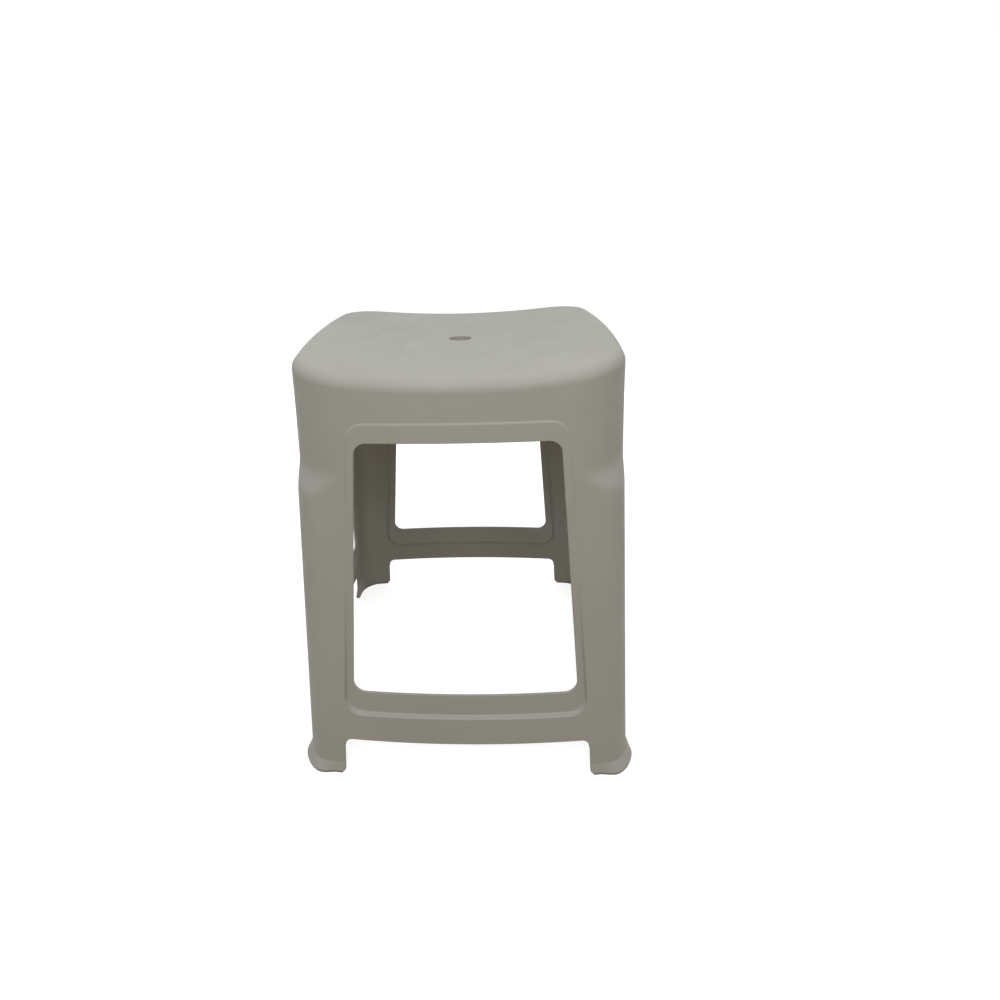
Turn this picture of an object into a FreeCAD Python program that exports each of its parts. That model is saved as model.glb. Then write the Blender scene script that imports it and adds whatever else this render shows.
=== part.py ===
import FreeCAD, Part
import math
import os
import Sketcher

# Stacking stool, moulded in one shot from polypropylene, on four soft foot pads.
# Lengths are millimetres. +Z is up, +X is the sitter's right, the seat's raised ends
# are at -X and +X, and the origin is the middle of the footprint on the floor.

doc = FreeCAD.newDocument("stacking_stool")
sheet = doc.addObject("Spreadsheet::Sheet", "Sizes")

SIZES = [
    # The body: a square tube with bowed faces that draws in as it rises.
    ("base_width", 364.0, "across two opposite faces, drawn down to the floor"),
    ("face_bow", 12.8, "how far the middle of a face stands out from its corners"),
    ("leg_draft", 0.041, "how far a face leans in for each unit of height, along the legs"),
    ("apron_draft", 0.0175, "the same lean above the shoulder"),
    ("leg_corner", 30.5, "outer corner radius of a leg"),
    ("seat_corner", 62.5, "outer corner radius of the seat and its apron"),
    ("shoulder_low", 318.0, "height where the leg corner starts to round off"),
    ("shoulder_high", 345.0, "height where the corner has the seat's radius"),
    ("wall", 2.6, "wall of legs, rails and apron"),
    # The seat: a saddle that is low across its middle.
    ("seat_end_height", 450.0, "height of the raised ends of the seat"),
    ("seat_dip", 12.5, "how far the middle lies below the ends"),
    ("seat_roll", 15.0, "radius of the rolled edge"),
    ("seat_skin", 3.0, "thickness of the sitting surface"),
    ("hole_width", 25.0, "hole in the middle of the seat, to carry the stool by a finger"),
    ("boss_wall", 3.5, "wall of the collar under the hole"),
    ("rib_depth", 12.0, "how far the ribs reach below the middle of the seat"),
    ("rib_width", 2.0, "thickness of a rib"),
    ("rib_offset", 60.0, "distance of a rib from the middle of the seat"),
    # The four sides: a window between legs, a rail, and a gap below the rail.
    ("rail_bottom", 43.4, "height of the lower edge of a rail"),
    ("rail_top", 98.8, "height of the upper edge of a rail, where the window starts"),
    ("window_top", 376.5, "height of the upper edge of a window"),
    ("window_low_width", 232.8, "width of a window along the rail"),
    ("window_high_width", 191.2, "width of a window along the apron"),
    ("window_corner", 12.5, "corner radius of a window"),
    ("gap_low_width", 262.0, "distance between two feet at the floor"),
    ("gap_high_width", 257.6, "distance between two legs under the rail"),
    ("gap_corner", 7.5, "radius where a leg meets the underside of a rail"),
    # The surround: the strip round a window lies on a steeper face than the legs.
    ("surround_side", 9.0, "width of the strip beside the window"),
    ("surround_above", 20.0, "height of the strip above the window"),
    ("surround_below", 24.3, "height of the strip below the window"),
    ("surround_corner", 19.0, "corner radius of the strip"),
    ("surround_sunk", 4.4, "depth of the ledge in the rail"),
    ("surround_proud", 0.9, "height of the ledge in the apron"),
    # The feet: the walls turn out into a flange over a soft pad.
    ("flange_out", 6.5, "how far the flange stands out from the leg"),
    ("flange_rim", 4.0, "height of the upright rim of the flange"),
    ("flange_flare", 13.5, "height of the hollow curve from the rim up to the leg"),
    ("flange_end", 5.0, "radius of the end of the flange, seen from above"),
    ("pad_thickness", 2.5, "foot pad below the sole"),
    ("pad_inset", 0.6, "how far the pad stays inside the edge of the sole"),
    ("peg_width", 4.0, "peg that holds the pad in the sole"),
    ("peg_length", 3.0, "how far a peg reaches into the sole"),
    ("peg_clearance", 0.1, "between a peg and its socket, all round"),
    ("peg_from_end", 14.0, "from the end of a foot to its peg"),
]

for row, (alias, value, meaning) in enumerate(SIZES, start=1):
    sheet.set(f"A{row}", alias)
    sheet.set(f"B{row}", str(value))
    sheet.setAlias(f"B{row}", alias)
    sheet.set(f"C{row}", meaning)
doc.recompute()

# Heights and half widths that several pieces share, as formulas on the sheet.
HALF_BASE = "Sizes.base_width / 2"
RIM_TOP = "(Sizes.pad_thickness + Sizes.flange_rim)"
FLARE_TOP = f"({RIM_TOP} + Sizes.flange_flare)"
LOFT_TOP = "(Sizes.seat_end_height + Sizes.seat_roll)"
SHOULDER_HALF = f"({HALF_BASE} - Sizes.leg_draft * Sizes.shoulder_low)"
LEDGE_LOW = "(Sizes.rail_top - Sizes.surround_below)"
LEDGE_HIGH = "(Sizes.window_top + Sizes.surround_above)"


def leg_half(height):
    """Half width across the faces at a height on the legs."""
    return f"({HALF_BASE} - Sizes.leg_draft * {height})"


def apron_half(height):
    """Half width across the faces at a height above the shoulder."""
    return f"({SHOULDER_HALF} - Sizes.apron_draft * ({height} - Sizes.shoulder_low))"


SUNK_HALF = f"({leg_half(LEDGE_LOW)} - Sizes.surround_sunk)"
PROUD_HALF = f"({apron_half(LEDGE_HIGH)} + Sizes.surround_proud)"


def surround_half(height):
    """Half width across the window surrounds, which lie on a plane of their own."""
    lean = f"({SUNK_HALF} - {PROUD_HALF}) / ({LEDGE_HIGH} - {LEDGE_LOW})"
    return f"({SUNK_HALF} - {lean} * ({height} - {LEDGE_LOW}))"


def number(formula):
    """The value of a formula on the sheet."""
    return float(sheet.evalExpression(formula))


def square(name, height, half, corner):
    """A square outline with bowed sides and round corners, lying at a height."""
    side_radius = f"(({half})^2 + Sizes.face_bow^2) / (2 * Sizes.face_bow)"
    reach = f"({side_radius} - ({half}))"
    sketch = doc.addObject("Sketcher::SketchObject", name)
    sketch.setExpression("Placement.Base.z", height)
    large = number(side_radius)
    small = number(corner)
    away = number(reach)
    # The corner's centre lies on the diagonal, inside both side arcs by its radius.
    centre = (math.sqrt(2 * (large - small) ** 2 - away ** 2) - away) / 2
    turn = math.atan2(centre, centre + away)
    for quarter in range(4):
        start = quarter * math.pi / 2
        spin = FreeCAD.Rotation(FreeCAD.Vector(0, 0, 1), math.degrees(start))
        up = FreeCAD.Vector(0, 0, 1)
        side = Part.Circle(spin.multVec(FreeCAD.Vector(-away, 0, 0)), up, large)
        round_off = Part.Circle(spin.multVec(FreeCAD.Vector(centre, centre, 0)), up, small)
        sketch.addGeometry(Part.ArcOfCircle(side, start - turn, start + turn))
        sketch.addGeometry(Part.ArcOfCircle(round_off, start + turn, start + math.pi / 2 - turn))
    for edge in range(8):
        sketch.addConstraint(Sketcher.Constraint("Tangent", edge, 2, (edge + 1) % 8, 1))
    for quarter in range(4):
        side = 2 * quarter
        along_x = quarter % 2 == 0
        sign = -1 if quarter < 2 else 1
        sketch.addConstraint(Sketcher.Constraint("PointOnObject", side, 3, -1 if along_x else -2))
        kind = "DistanceX" if along_x else "DistanceY"
        places = sketch.addConstraint(Sketcher.Constraint(kind, -1, 1, side, 3, sign * away))
        sketch.setExpression(f"Constraints[{places}]", f"{sign} * {reach}")
        bows = sketch.addConstraint(Sketcher.Constraint("Radius", side, large))
        sketch.setExpression(f"Constraints[{bows}]", side_radius)
        rounds = sketch.addConstraint(Sketcher.Constraint("Radius", side + 1, small))
        sketch.setExpression(f"Constraints[{rounds}]", corner)
    return sketch


def tube(name, levels):
    """A solid through square outlines, one for each level of height, half width and corner."""
    loft = doc.addObject("Part::Loft", name)
    loft.Sections = [square(f"{name}_{i}", *level) for i, level in enumerate(levels)]
    loft.Solid = True
    loft.Ruled = True
    return loft


def shoulder_levels(inward):
    """Levels where the small leg corner eases into the large seat corner."""
    steps = 4
    levels = []
    for i in range(steps + 1):
        part = i / steps
        eased = (1 - math.cos(math.pi * part)) / 2
        height = f"(Sizes.shoulder_low + {part} * (Sizes.shoulder_high - Sizes.shoulder_low))"
        corner = f"(Sizes.leg_corner + {eased} * (Sizes.seat_corner - Sizes.leg_corner) - {inward})"
        levels.append((height, f"({apron_half(height)} - {inward})", corner))
    return levels


def flange_levels():
    """Levels of the foot: an upright rim, then a hollow curve up to the leg."""
    def level(height, out):
        return height, f"({leg_half(height)} + {out})", f"(Sizes.leg_corner + {out})"

    levels = [level("Sizes.pad_thickness", "Sizes.flange_out")]
    steps = 3
    for i in range(steps + 1):
        angle = math.pi / 2 * (1 - i / steps)
        height = f"({FLARE_TOP} - {math.sin(angle)} * Sizes.flange_flare)"
        levels.append(level(height, f"{1 - math.cos(angle)} * Sizes.flange_out"))
    return levels


def join(kind, name, base, tool):
    """A boolean of two solids."""
    feature = doc.addObject(f"Part::{kind}", name)
    feature.Base = base
    feature.Tool = tool
    feature.Refine = True
    return feature


def gather(name, shapes):
    """Several solids fused into one."""
    feature = doc.addObject("Part::MultiFuse", name)
    feature.Shapes = shapes
    feature.Refine = True
    return feature


SEAT_MIDDLE = "(Sizes.seat_end_height - Sizes.seat_dip)"
EDGE_HALF = apron_half(f"({SEAT_MIDDLE} - Sizes.seat_roll)")
SADDLE_SPAN = f"({EDGE_HALF} - Sizes.seat_roll)"
SADDLE_RADIUS = f"(({SADDLE_SPAN}^2 + Sizes.seat_dip^2) / (2 * Sizes.seat_dip))"


def outline(half, bow, corner):
    """Start, middle and end of the eight arcs of a square outline, in plan."""
    large = (half ** 2 + bow ** 2) / (2 * bow)
    away = large - half
    centre = (math.sqrt(2 * (large - corner) ** 2 - away ** 2) - away) / 2
    turn = math.atan2(centre, centre + away)
    arcs = []
    for quarter in range(4):
        spin = FreeCAD.Rotation(FreeCAD.Vector(0, 0, 1), 90 * quarter)
        side = [(large * math.cos(a) - away, large * math.sin(a)) for a in (-turn, 0, turn)]
        round_off = [(centre + corner * math.cos(a), centre + corner * math.sin(a))
                     for a in (turn, math.pi / 4, math.pi / 2 - turn)]
        for arc in (side, round_off):
            arcs.append([spin.multVec(FreeCAD.Vector(x, y, 0)) for x, y in arc])
    return arcs


def ring(name, arcs, height_at):
    """A closed wire of eight arcs, each lifted to the height over its place in plan."""
    edges = []
    for arc in arcs:
        lifted = [FreeCAD.Vector(p.x, p.y, height_at(p)) for p in arc]
        edges.append(Part.Arc(*lifted).toShape())
    wire = doc.addObject("Part::Feature", name)
    wire.Shape = Part.Wire(edges)
    return wire


def crown(name, inward, sink, steps):
    """Apron, rolled edge and saddle, drawn in by the wall and sunk by the skin."""
    half = number(EDGE_HALF) - inward
    corner = number("Sizes.seat_corner") - inward
    bow = number("Sizes.face_bow")
    roll = number("Sizes.seat_roll") - inward
    middle = number(SEAT_MIDDLE) - sink
    radius = number(SADDLE_RADIUS)

    def saddle_height(point):
        return middle + radius - math.sqrt(radius ** 2 - point.x ** 2)

    shoulder = number("Sizes.shoulder_high")
    foot = outline(number(apron_half("Sizes.shoulder_high")) - inward, bow, corner)
    rings = [ring(f"{name}_shoulder", foot, lambda p: shoulder)]
    for i in range(steps + 1):
        angle = math.pi / 2 * i / steps
        inset = roll * (1 - math.cos(angle))
        drop = roll * (1 - math.sin(angle))
        # The last ring lies a little above the saddle, which then trims it cleanly.
        lift = 0.02 * roll if i == steps else 0
        arcs = outline(half - inset, bow, corner - inset)
        rings.append(ring(f"{name}_roll_{i}", arcs, lambda p, z=lift - drop: saddle_height(p) + z))
    top = number(LOFT_TOP)
    rings.append(ring(f"{name}_top", arcs, lambda p: top))
    loft = doc.addObject("Part::Loft", f"{name}_loft")
    loft.Sections = rings
    loft.Solid = True
    loft.Ruled = True
    saddle = doc.addObject("Part::Cylinder", f"{name}_saddle")
    saddle.setExpression("Radius", f"{SADDLE_RADIUS} + {sink}")
    saddle.setExpression("Height", "2 * Sizes.base_width")
    saddle.Placement.Rotation = FreeCAD.Rotation(FreeCAD.Vector(1, 0, 0), -90)
    saddle.setExpression("Placement.Base.y", "-Sizes.base_width")
    saddle.setExpression("Placement.Base.z", f"{SEAT_MIDDLE} + {SADDLE_RADIUS}")
    return join("Cut", name, loft, saddle)


def opening(name, turned, levels, corners):
    """A prism right through the stool, from a sketch that is wider at one end than the other."""
    (low, low_width), (high, high_width) = levels
    body = doc.addObject("PartDesign::Body", name)
    sketch = body.newObject("Sketcher::SketchObject", f"{name}_outline")
    plane = next(f for f in body.Origin.OriginFeatures if f.Role == "XZ_Plane")
    sketch.AttachmentSupport = [(plane, "")]
    sketch.MapMode = "FlatFace"
    half_low = number(low_width) / 2
    half_high = number(high_width) / 2
    bottom = number(low)
    top = number(high)
    points = [(-half_low, bottom), (half_low, bottom), (half_high, top), (-half_high, top)]
    vectors = [FreeCAD.Vector(x, z, 0) for x, z in points]
    for i in range(4):
        sketch.addGeometry(Part.LineSegment(vectors[i], vectors[(i + 1) % 4]))
    for i in range(4):
        sketch.addConstraint(Sketcher.Constraint("Coincident", i, 2, (i + 1) % 4, 1))
    for line in (0, 2):
        sketch.addConstraint(Sketcher.Constraint("Symmetric", line, 1, line, 2, -2))
    sizes = [
        (Sketcher.Constraint("DistanceX", 0, 1, 0, 2, 2 * half_low), low_width),
        (Sketcher.Constraint("DistanceX", 2, 2, 2, 1, 2 * half_high), high_width),
        (Sketcher.Constraint("DistanceY", -1, 1, 0, 1, bottom), low),
        (Sketcher.Constraint("DistanceY", -1, 1, 2, 1, top), high),
    ]
    for constraint, formula in sizes:
        index = sketch.addConstraint(constraint)
        sketch.setExpression(f"Constraints[{index}]", formula)
    pad = body.newObject("PartDesign::Pad", f"{name}_pad")
    pad.Profile = sketch
    pad.Midplane = True
    pad.setExpression("Length", "2 * Sizes.base_width")
    doc.recompute()
    edges = []
    for index, edge in enumerate(pad.Shape.Edges, start=1):
        ends = [vertex.Point for vertex in edge.Vertexes]
        across = abs(ends[0].y - ends[1].y) > 1.0
        if across and (corners == "all" or ends[0].z > (bottom + top) / 2):
            edges.append(f"Edge{index}")
    fillet = body.newObject("PartDesign::Fillet", f"{name}_corners")
    fillet.Base = (pad, edges)
    body.Tip = fillet
    if turned:
        body.Placement = FreeCAD.Placement(
            FreeCAD.Vector(), FreeCAD.Rotation(FreeCAD.Vector(0, 0, 1), 90))
    return body, fillet


def both_ways(name, levels, radius, corners="all"):
    """The same opening from front to back and from left to right."""
    bodies = []
    for way, turned in (("front_back", False), ("left_right", True)):
        body, fillet = opening(f"{name}_{way}", turned, levels, corners)
        fillet.setExpression("Radius", radius)
        bodies.append(body)
    return bodies


def window_width(height):
    """Width of a window's slanted sides at a height, also above and below it."""
    lean = ("(Sizes.window_low_width - Sizes.window_high_width)"
            " / (Sizes.window_top - Sizes.rail_top)")
    return f"(Sizes.window_low_width - {lean} * ({height} - Sizes.rail_top))"


def surround_zone(name, spread, high):
    """The strip round the windows up to a height, spread outwards by a distance."""
    low = f"({LEDGE_LOW} - {spread})"
    margin = f"2 * (Sizes.surround_side + {spread})"
    levels = [(low, f"({window_width(low)} + {margin})"),
              (high, f"({window_width(high)} + {margin})")]
    bodies = both_ways(name, levels, f"(Sizes.surround_corner + {spread})")
    return gather(name, bodies)


def with_surround(name, plain, steep, zone):
    """A solid whose sides lie on the steeper face inside the zone of the surrounds."""
    face = join("Cut", f"{name}_face", plain, zone)
    panel = join("Common", f"{name}_panel", steep, zone)
    return gather(name, [face, panel])


def outer_solid():
    """The stool's outside, filled in."""
    legs = tube("outer_tube", flange_levels() + shoulder_levels("0"))
    plain = gather("outer_plain", [legs, crown("outer_crown", 0, 0, 5)])
    steep = tube("outer_steep", [("0", surround_half("0"), "Sizes.leg_corner"),
                                 ("Sizes.seat_end_height", surround_half("Sizes.seat_end_height"),
                                  "Sizes.leg_corner")])
    return with_surround("outer", plain, steep, surround_zone("outer_zone", "0", LEDGE_HIGH))


def inner_solid():
    """The hollow inside the walls and under the seat, open below."""
    wall = "Sizes.wall"
    below = "-Sizes.wall"
    corner = f"(Sizes.leg_corner - {wall})"
    legs = tube("inner_tube", [(below, f"({leg_half(below)} - {wall})", corner)]
                + shoulder_levels(wall))
    top = crown("inner_crown", number(wall), number("Sizes.seat_skin"), 3)
    plain = gather("inner_plain", [legs, top])
    high = "Sizes.seat_end_height"
    steep = tube("inner_steep", [(below, f"({surround_half(below)} - {wall})", corner),
                                 (high, f"({surround_half(high)} - {wall})", corner)])
    # Above the shoulder the two faces nearly meet, so the hollow follows the strip only below it.
    zone = surround_zone("inner_zone", wall, "Sizes.shoulder_low")
    return plain, with_surround("inner", plain, steep, zone)


def upright(name, radius, low, high, across="0", along="0"):
    """A vertical cylinder between two heights."""
    cylinder = doc.addObject("Part::Cylinder", name)
    cylinder.setExpression("Radius", radius)
    cylinder.setExpression("Height", f"{high} - {low}")
    cylinder.setExpression("Placement.Base.x", across)
    cylinder.setExpression("Placement.Base.y", along)
    cylinder.setExpression("Placement.Base.z", low)
    return cylinder


def seat_ribs(hollow):
    """A grid of ribs and a collar below the seat, trimmed to the hollow."""
    low = f"({SEAT_MIDDLE} - Sizes.seat_skin - Sizes.rib_depth)"
    bars = []
    for way in ("x", "y"):
        across = "y" if way == "x" else "x"
        for place in (-1, 1):
            bar = doc.addObject("Part::Box", f"rib_{way}_{len(bars)}")
            lengths = {way: "Width" if way == "y" else "Length",
                       across: "Width" if across == "y" else "Length"}
            bar.setExpression(lengths[way], "Sizes.base_width")
            bar.setExpression(lengths[across], "Sizes.rib_width")
            bar.setExpression("Height", f"{LOFT_TOP} - {low}")
            bar.setExpression(f"Placement.Base.{way}", "-Sizes.base_width / 2")
            bar.setExpression(f"Placement.Base.{across}",
                              f"{place} * Sizes.rib_offset - Sizes.rib_width / 2")
            bar.setExpression("Placement.Base.z", low)
            bars.append(bar)
    collar = upright("collar", "(Sizes.hole_width / 2 + Sizes.boss_wall)", low, LOFT_TOP)
    grid = gather("rib_grid", bars + [collar])
    return join("Common", "ribs", grid, hollow)


# A peg stands in the middle of the sole, between the wall's inside and the flange.
SOLE_HALF = leg_half("Sizes.pad_thickness")
PEG_OUT = "(Sizes.flange_out - Sizes.wall) / 2"
PEG_SIDE_RADIUS = f"((({SOLE_HALF})^2 + Sizes.face_bow^2) / (2 * Sizes.face_bow))"


def peg_places():
    """Two places on the foot at +X +Y, near its ends."""
    along = "(Sizes.gap_low_width / 2 + Sizes.peg_from_end)"
    out = (f"({SOLE_HALF} - {PEG_SIDE_RADIUS}"
           f" + sqrt(({PEG_SIDE_RADIUS} + {PEG_OUT})^2 - {along}^2))")
    return [(along, out), (out, along)]


def end_cutter(name, radius):
    """What is cut off both flange ends of the foot at +X +Y, to round them in plan."""
    rim_half = f"({SOLE_HALF} + Sizes.flange_out)"
    rim_radius = f"((({rim_half})^2 + Sizes.face_bow^2) / (2 * Sizes.face_bow))"
    along = "(Sizes.gap_low_width / 2 + Sizes.flange_end)"
    out = (f"({rim_half} - {rim_radius}"
           f" + sqrt(({rim_radius} - Sizes.flange_end)^2 - {along}^2))")
    cutters = []
    for way, (x, y) in enumerate([(along, out), (out, along)]):
        box = doc.addObject("Part::Box", f"{name}_box_{way}")
        box.setExpression("Length", "2 * Sizes.flange_end")
        box.setExpression("Width", "2 * Sizes.flange_end")
        box.setExpression("Height", FLARE_TOP)
        box.setExpression("Placement.Base.x", f"{x} - {1 - way} * 2 * Sizes.flange_end")
        box.setExpression("Placement.Base.y", f"{y} - {way} * 2 * Sizes.flange_end")
        kept = upright(f"{name}_kept_{way}", radius, "0", FLARE_TOP, x, y)
        cutters.append(join("Cut", f"{name}_{way}", box, kept))
    return gather(name, cutters)


def quarter_turn(shape, quarter):
    """The shape turned about the stool's axis, as a linked copy in place."""
    turned = doc.addObject("Part::Compound", f"{shape.Name}_turned_{quarter}")
    turned.Links = [shape]
    turned.Placement.Rotation = FreeCAD.Rotation(FreeCAD.Vector(0, 0, 1), 90 * quarter)
    return turned


def foot_cuts():
    """What is cut from the four feet: the pegs' sockets and the flange ends."""
    radius = "(Sizes.peg_width / 2 + Sizes.peg_clearance)"
    high = "(Sizes.pad_thickness + Sizes.peg_length + 2 * Sizes.peg_clearance)"
    holes = [upright(f"socket_{i}", radius, "0", high, *place)
             for i, place in enumerate(peg_places())]
    foot = gather("foot_cut", holes + [end_cutter("flange_end", "Sizes.flange_end")])
    return gather("foot_cuts", [quarter_turn(foot, quarter) for quarter in range(4)])


def stool_shell():
    """The one-shot moulding: seat, apron, legs, rails and feet."""
    outer = outer_solid()
    hollow, inner = inner_solid()
    walls = join("Cut", "walls", outer, inner)
    ribbed = gather("ribbed", [walls, seat_ribs(hollow)])
    windows = both_ways("window", [("Sizes.rail_top", "Sizes.window_low_width"),
                                   ("Sizes.window_top", "Sizes.window_high_width")],
                        "Sizes.window_corner")
    gap_levels = [("0", "Sizes.gap_low_width"), ("Sizes.rail_bottom", "Sizes.gap_high_width")]
    gaps = both_ways("gap", gap_levels, "Sizes.gap_corner", corners="upper")
    hole = upright("hole", "Sizes.hole_width / 2", "Sizes.rail_bottom", LOFT_TOP)
    cuts = gather("cuts", windows + gaps + [hole, foot_cuts()])
    return join("Cut", "stool_shell", ribbed, cuts)


def foot_pads():
    """Four soft angle strips below the soles, each with two pegs."""
    top = "Sizes.pad_thickness"
    levels = []
    for spread in (f"(Sizes.flange_out - Sizes.pad_inset)", "(Sizes.pad_inset - Sizes.wall)"):
        half = f"({SOLE_HALF} + {spread})"
        corner = f"(Sizes.leg_corner + {spread})"
        levels.append([("0", half, corner), (top, half, corner)])
    ring = join("Cut", "pad_ring", tube("pad_outside", levels[0]), tube("pad_inside", levels[1]))
    start = "(Sizes.gap_low_width / 2 + Sizes.pad_inset)"
    quarter_box = doc.addObject("Part::Box", "pad_corner")
    quarter_box.setExpression("Length", "Sizes.base_width")
    quarter_box.setExpression("Width", "Sizes.base_width")
    quarter_box.setExpression("Height", top)
    quarter_box.setExpression("Placement.Base.x", start)
    quarter_box.setExpression("Placement.Base.y", start)
    angle = join("Common", "pad_angle", ring, quarter_box)
    ends = end_cutter("pad_end", "(Sizes.flange_end - Sizes.pad_inset)")
    strip = join("Cut", "pad_strip", angle, ends)
    pegs = [upright(f"peg_{i}", "Sizes.peg_width / 2", "0",
                    "(Sizes.pad_thickness + Sizes.peg_length)", *place)
            for i, place in enumerate(peg_places())]
    pad = gather("pad", [strip] + pegs)
    names = ["foot_pad_back_right", "foot_pad_back_left",
             "foot_pad_front_left", "foot_pad_front_right"]
    pads = []
    for quarter, name in enumerate(names):
        turned = quarter_turn(pad, quarter)
        turned.Label = name
        pads.append(turned)
    return pads


def main():
    shell = stool_shell()
    pieces = [shell] + foot_pads()
    doc.recompute()
    for thing in doc.Objects:
        if "Invalid" in thing.State or "Error" in thing.State:
            raise RuntimeError(f"{thing.Name} failed: {thing.State}")
    os.makedirs("parts", exist_ok=True)
    for piece in pieces:
        shape = piece.Shape
        if shape.isNull() or not shape.isValid() or len(shape.Solids) != 1:
            raise RuntimeError(f"{piece.Label} is not one valid solid")
    for piece in pieces:
        piece.Shape.Solids[0].exportStep(f"parts/{piece.Label}.step")
        print(piece.Label, round(piece.Shape.Volume / 1000, 1), "cm3")


main()
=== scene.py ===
import math

import bpy
import numpy as np
from mathutils import Matrix, Vector
from mathutils.geometry import delaunay_2d_cdt


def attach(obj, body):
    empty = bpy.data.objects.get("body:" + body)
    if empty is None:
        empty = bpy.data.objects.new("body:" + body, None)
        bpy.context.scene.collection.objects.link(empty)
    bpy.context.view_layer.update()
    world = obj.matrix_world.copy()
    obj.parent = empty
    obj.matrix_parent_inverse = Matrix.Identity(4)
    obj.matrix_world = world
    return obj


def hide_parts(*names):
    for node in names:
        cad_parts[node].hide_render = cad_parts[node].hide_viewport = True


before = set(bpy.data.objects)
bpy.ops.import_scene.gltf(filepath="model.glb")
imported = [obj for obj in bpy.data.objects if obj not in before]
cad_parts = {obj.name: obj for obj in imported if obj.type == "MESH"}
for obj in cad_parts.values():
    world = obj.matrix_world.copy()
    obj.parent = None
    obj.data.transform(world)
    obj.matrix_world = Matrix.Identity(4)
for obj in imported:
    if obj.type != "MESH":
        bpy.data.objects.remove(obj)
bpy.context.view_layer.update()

# Sizes of the moulding in millimetres, as in the part.
BASE_HALF = 182.0
BOW = 12.8
LEG_DRAFT, APRON_DRAFT = 0.041, 0.0175
LEG_CORNER, SEAT_CORNER = 30.5, 62.5
SHOULDER_LOW, SHOULDER_HIGH = 318.0, 345.0
WALL, SKIN = 2.6, 3.0
ROLL = 15.0
SEAT_MIDDLE, SEAT_DIP = 437.5, 12.5
SOLE = 2.5
FLANGE = 6.5
RAIL_LOW, RAIL_TOP = 43.4, 98.8
WINDOW_TOP, WINDOW_CORNER = 376.5, 12.5
WINDOW_LOW_HALF, WINDOW_TOP_HALF = 116.4, 95.6
WINDOW_LEAN = (WINDOW_LOW_HALF - WINDOW_TOP_HALF) / (WINDOW_TOP - RAIL_TOP)
STRIP_LOW, STRIP_HIGH, STRIP_SIDE, STRIP_CORNER = 74.5, 396.5, 9.0, 19.0
STRIP_SINK_LOW, STRIP_SINK_HIGH = 4.4, 0.9
GAP_FLOOR, GAP_TOP, GAP_CORNER = 131.0, 128.8, 7.5
HOLE, COLLAR = 12.5, 16.0
RIB_LOW, RIB_OFFSET, RIB_WIDTH = 422.5, 60.0, 2.0

# Sizes in millimetres that the visible moulding alone has, nearer to the photo than the part.
EDGE, HOLE_EDGE = 0.8, 1.5
SHOULDER_BELOW, SHOULDER_ABOVE = 3.0, 5.0
SILL, SILL_HALF = 100.6, 116.2
WINDOW = [(-SILL_HALF, SILL), (SILL_HALF, SILL),
          (WINDOW_TOP_HALF, WINDOW_TOP), (-WINDOW_TOP_HALF, WINDOW_TOP)]
STEP_WIDTH, STEP_AHEAD = 2.8, 0.1
INNER_STEP, INNER_FADE_LOW, INNER_FADE = 3.0, 296.0, 20.0
RIM, FLARE = 2.2, 9.6
LIP_RADIUS, HOLLOW_RADIUS, LEDGE_SLOPE = 1.4, 4.0, math.radians(40)
FOOT_CORNER = 3.2
# Along a foot the flange grows: its least overhang, where the growth starts, and over what length.
FLANGE_FORWARD, FLANGE_SIDEWAYS = (2.2, 10, 24), (3.4, 3, 16)
FLANGE_END, FLANGE_END_SHARE = 5.0, 0.25
GRIP_PITCH, GRIP_HEIGHT, GRIP_HALF_WIDTH, GRIP_FLANK = 12.2, 0.45, 3.0, 2.4
GRIP_LINES_ASIDE = 9
GRIP_REACH, GRIP_BOW = 122.0, 0.0011
GRIP_CORNER_START, GRIP_CORNER_BOW = 88.0, 0.05
GRIP_KEEP_OUT = 21.0
RIB_TOP_IN, RIB_END_IN, UNDERSIDE_IN = 0.9, 0.8, 0.3
PAD_START, PAD_INSET, PAD_EDGE = 3.0, 0.6, 0.6

# Where the face's mesh ends and the crown's begins, and how fine the meshes are, in millimetres.
TOP_LINE = 400.0
COLUMN_STEP, CORNER_COLUMNS = 6.5, 12
LOOP_STEP, WINDOW_TURNS, STRIP_TURNS = 6.0, 10, 12
ROW_MARGIN = 6.0
SOLE_BEND = 144.0
STRIP_RINGS = (-3.6, -2.7, -2.3, -1.9, -1.5, -1.1, -0.7, -0.3, 0.0, 0.3, 0.9, 2.4)
WINDOW_RING = 1.4
BOTTOM_ROWS, BOTTOM_MARGIN = (0.6, 1.5, 3.0), 2.0
FOOT_COLUMNS = (1.3, 1.9, 2.7, 3.6, 4.6, 5.6)
CLEAR, LEG_CLEAR, FOOT_CLEAR, STRIP_CLEAR = 3.6, 4.0, 6.4, (-3.4, 4.6)
EDGE_STEPS, HOLE_EDGE_STEPS = 4, 6
CIRCLE_STEPS, HOLE_RING = 64, 3.5
CIRCLE = np.array([(math.cos(2 * math.pi * i / CIRCLE_STEPS), math.sin(2 * math.pi * i / CIRCLE_STEPS))
                   for i in range(CIRCLE_STEPS)])
GRIP_LOOPS, GRIP_STEP, GRIP_TURNS, GRIP_CLEAR = (3.0, 2.5, 2.0, 1.5, 1.0, 0.5), 7.0, 6, 3.8
SEAT_SPREAD, SEAT_STEP_X, SEAT_STEP_Y = 150, 6.1, 6.0
SEAT_EDGE_CLEAR, HOLE_CLEAR = 4.0, 6.0
UNDERSIDE_ROWS = 12
RIB_FINE = 14.0
FACE_DIFFERENCE, CROWN_DIFFERENCE, SEAT_DIFFERENCE = 0.08, 0.001, 0.1
MOST_SINE = 0.5
SLIVER, SAME_POINT = 1e-6, 1e-4
MILLIMETRE = 0.001


def smooth(t):
    """A soft step from 0 to 1."""
    t = np.clip(t, 0.0, 1.0)
    return t * t * (3 - 2 * t)


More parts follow.
